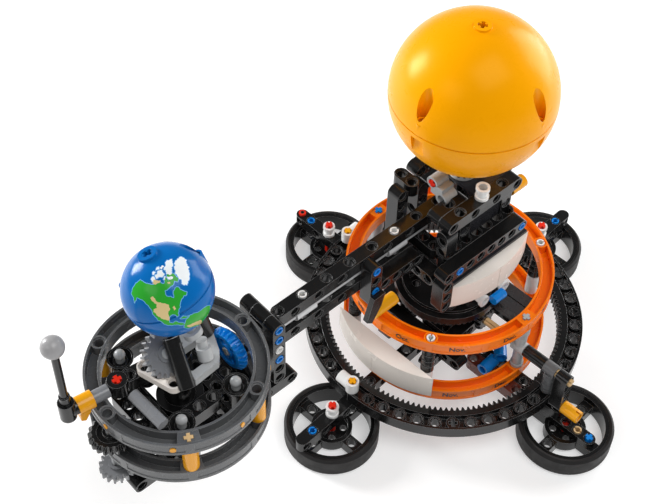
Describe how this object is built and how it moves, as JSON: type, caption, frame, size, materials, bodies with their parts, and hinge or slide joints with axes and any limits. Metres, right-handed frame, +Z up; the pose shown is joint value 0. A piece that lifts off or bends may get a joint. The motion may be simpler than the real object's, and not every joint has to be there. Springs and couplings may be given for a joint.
{
  "type": "orrery",
  "caption": "Tabletop geared orrery built from construction beams: a crank turns an arm that carries the Earth and Moon round a golden Sun, with orange month rings.",
  "frame": {"origin": "on the central axis about which the arm turns, at the level the four rubber feet stand on", "axes": "+X and +Y run to two of the feet, the hand crank is on the -Y side, +Z is up; at rest the arm points along -X, 3.8 degrees short of the -X foot"},
  "size_m": [0.3752, 0.2477, 0.2549],
  "materials": {
    "black_plastic": "moulded, satin to glossy black",
    "tyre_rubber": "matt black rubber band",
    "dark_grey_plastic": "moulded dark bluish grey",
    "light_grey_plastic": "moulded light grey",
    "white_plastic": "moulded white",
    "orange_plastic": "moulded reddish orange",
    "red_plastic": "moulded red",
    "bright_blue_plastic": "moulded bright blue",
    "amber_plastic": "moulded orange-yellow",
    "sun_yellow": "glossy golden yellow",
    "earth_blue": "glossy blue with printed land"
  },
  "bodies": {
    "base": {"ring_gear_quarters": "black_plastic", "foot_wheels": "dark_grey_plastic", "foot_tyres": "tyre_rubber", "leg_beams": "black_plastic", "leg_connectors": "white_plastic", "leg_axles": "red_plastic", "base_pins": "bright_blue_plastic", "base_beams": "black_plastic", "centre_bearing": "black_plastic", "centre_column": "dark_grey_plastic", "lower_month_ring": "orange_plastic", "upper_month_ring": "orange_plastic", "ring_posts": "white_plastic", "axle_guides": "light_grey_plastic", "ring_pins": "white_plastic", "lower_crescent": "white_plastic", "crank_stand": "dark_grey_plastic"},
    "crank": {"crank_axle": "black_plastic", "crank_lever": "black_plastic", "crank_grip": "amber_plastic", "crank_pinion": "black_plastic"},
    "arm": {"turntable": "black_plastic", "tower_uprights": "black_plastic", "tower_rails": "black_plastic", "tower_panels": "black_plastic", "deck_fittings": "white_plastic", "upper_crescent": "white_plastic", "arm_beams": "black_plastic", "arm_end_frame": "black_plastic", "pointer": "black_plastic", "yellow_tubes": "amber_plastic", "frame_pins": "bright_blue_plastic", "lower_phase_ring": "dark_grey_plastic", "upper_phase_ring": "dark_grey_plastic", "ring_spacers": "amber_plastic", "stage_frame": "black_plastic", "dish_cups": "black_plastic", "dish_balls": "light_grey_plastic", "under_frame": "black_plastic"},
    "arm_shaft": {"arm_shaft": "light_grey_plastic"},
    "stage_drive": {"stage_axle": "light_grey_plastic", "blue_bevel_gear": "bright_blue_plastic"},
    "sun": {"sun_upper_shell": "sun_yellow", "sun_lower_shell": "sun_yellow", "sun_axle": "dark_grey_plastic", "sun_gear": "black_plastic"},
    "far_shaft": {"far_axle": "light_grey_plastic", "far_bevel_gear": "black_plastic", "far_spur_gear": "light_grey_plastic"},
    "moon": {"moon_arm": "light_grey_plastic", "moon_block": "amber_plastic", "moon_mast": "black_plastic", "moon_ball": "white_plastic"},
    "earth_carrier": {"carrier_frame": "light_grey_plastic", "carrier_struts": "black_plastic", "carrier_lever": "light_grey_plastic"},
    "tilt_gear": {"tilt_gear": "light_grey_plastic"},
    "earth": {"earth_upper_shell": "earth_blue", "earth_lower_shell": "earth_blue", "earth_axle": "light_grey_plastic"}
  },
  "joints": [
    {"name": "orbit", "type": "hinge", "parent": "base", "child": "arm", "pos_m": [0, 0, 0.06], "axis": [0, 0, 1], "continuous": true},
    {"name": "crank_turn", "type": "hinge", "parent": "base", "child": "crank", "pos_m": [0, -0.05, 0.0494], "axis": [0, 1, 0], "continuous": true},
    {"name": "arm_shaft_spin", "type": "hinge", "parent": "arm", "child": "arm_shaft", "pos_m": [-0.07982, 0.0053, 0.1305], "axis": [0.9978, -0.0663, 0], "continuous": true},
    {"name": "stage_drive_spin", "type": "hinge", "parent": "arm", "child": "stage_drive", "pos_m": [-0.14967, 0.00994, 0.139], "axis": [0.9978, -0.0663, 0], "continuous": true},
    {"name": "sun_spin", "type": "hinge", "parent": "arm", "child": "sun", "pos_m": [0, 0, 0.18], "axis": [0, 0, 1], "continuous": true},
    {"name": "far_shaft_spin", "type": "hinge", "parent": "arm", "child": "far_shaft", "pos_m": [-0.23149, 0.01538, 0.12], "axis": [0, 0, 1], "continuous": true},
    {"name": "moon_orbit", "type": "hinge", "parent": "arm", "child": "moon", "pos_m": [-0.19158, 0.01273, 0.14], "axis": [0, 0, 1], "continuous": true},
    {"name": "carrier_turn", "type": "hinge", "parent": "arm", "child": "earth_carrier", "pos_m": [-0.19158, 0.01273, 0.15], "axis": [0, 0, 1], "continuous": true},
    {"name": "tilt_gear_spin", "type": "hinge", "parent": "earth_carrier", "child": "tilt_gear", "pos_m": [-0.20224, 0.00762, 0.1793], "axis": [0.1527, -0.7096, 0.6879], "continuous": true},
    {"name": "earth_spin", "type": "hinge", "parent": "earth_carrier", "child": "earth", "pos_m": [-0.19158, 0.01273, 0.2124], "axis": [-0.124, 0.3773, 0.9178], "continuous": true}
  ],
  "couplings": [
    {"joint": "crank_turn", "follows": "orbit", "ratio": 4.6667},
    {"joint": "arm_shaft_spin", "follows": "orbit", "ratio": 3},
    {"joint": "stage_drive_spin", "follows": "orbit", "ratio": -4},
    {"joint": "sun_spin", "follows": "orbit", "ratio": 14},
    {"joint": "far_shaft_spin", "follows": "orbit", "ratio": -12.375},
    {"joint": "moon_orbit", "follows": "orbit", "ratio": 12.375},
    {"joint": "carrier_turn", "follows": "orbit", "ratio": -1},
    {"joint": "tilt_gear_spin", "follows": "orbit", "ratio": 8},
    {"joint": "earth_spin", "follows": "orbit", "ratio": 16}
  ]
}
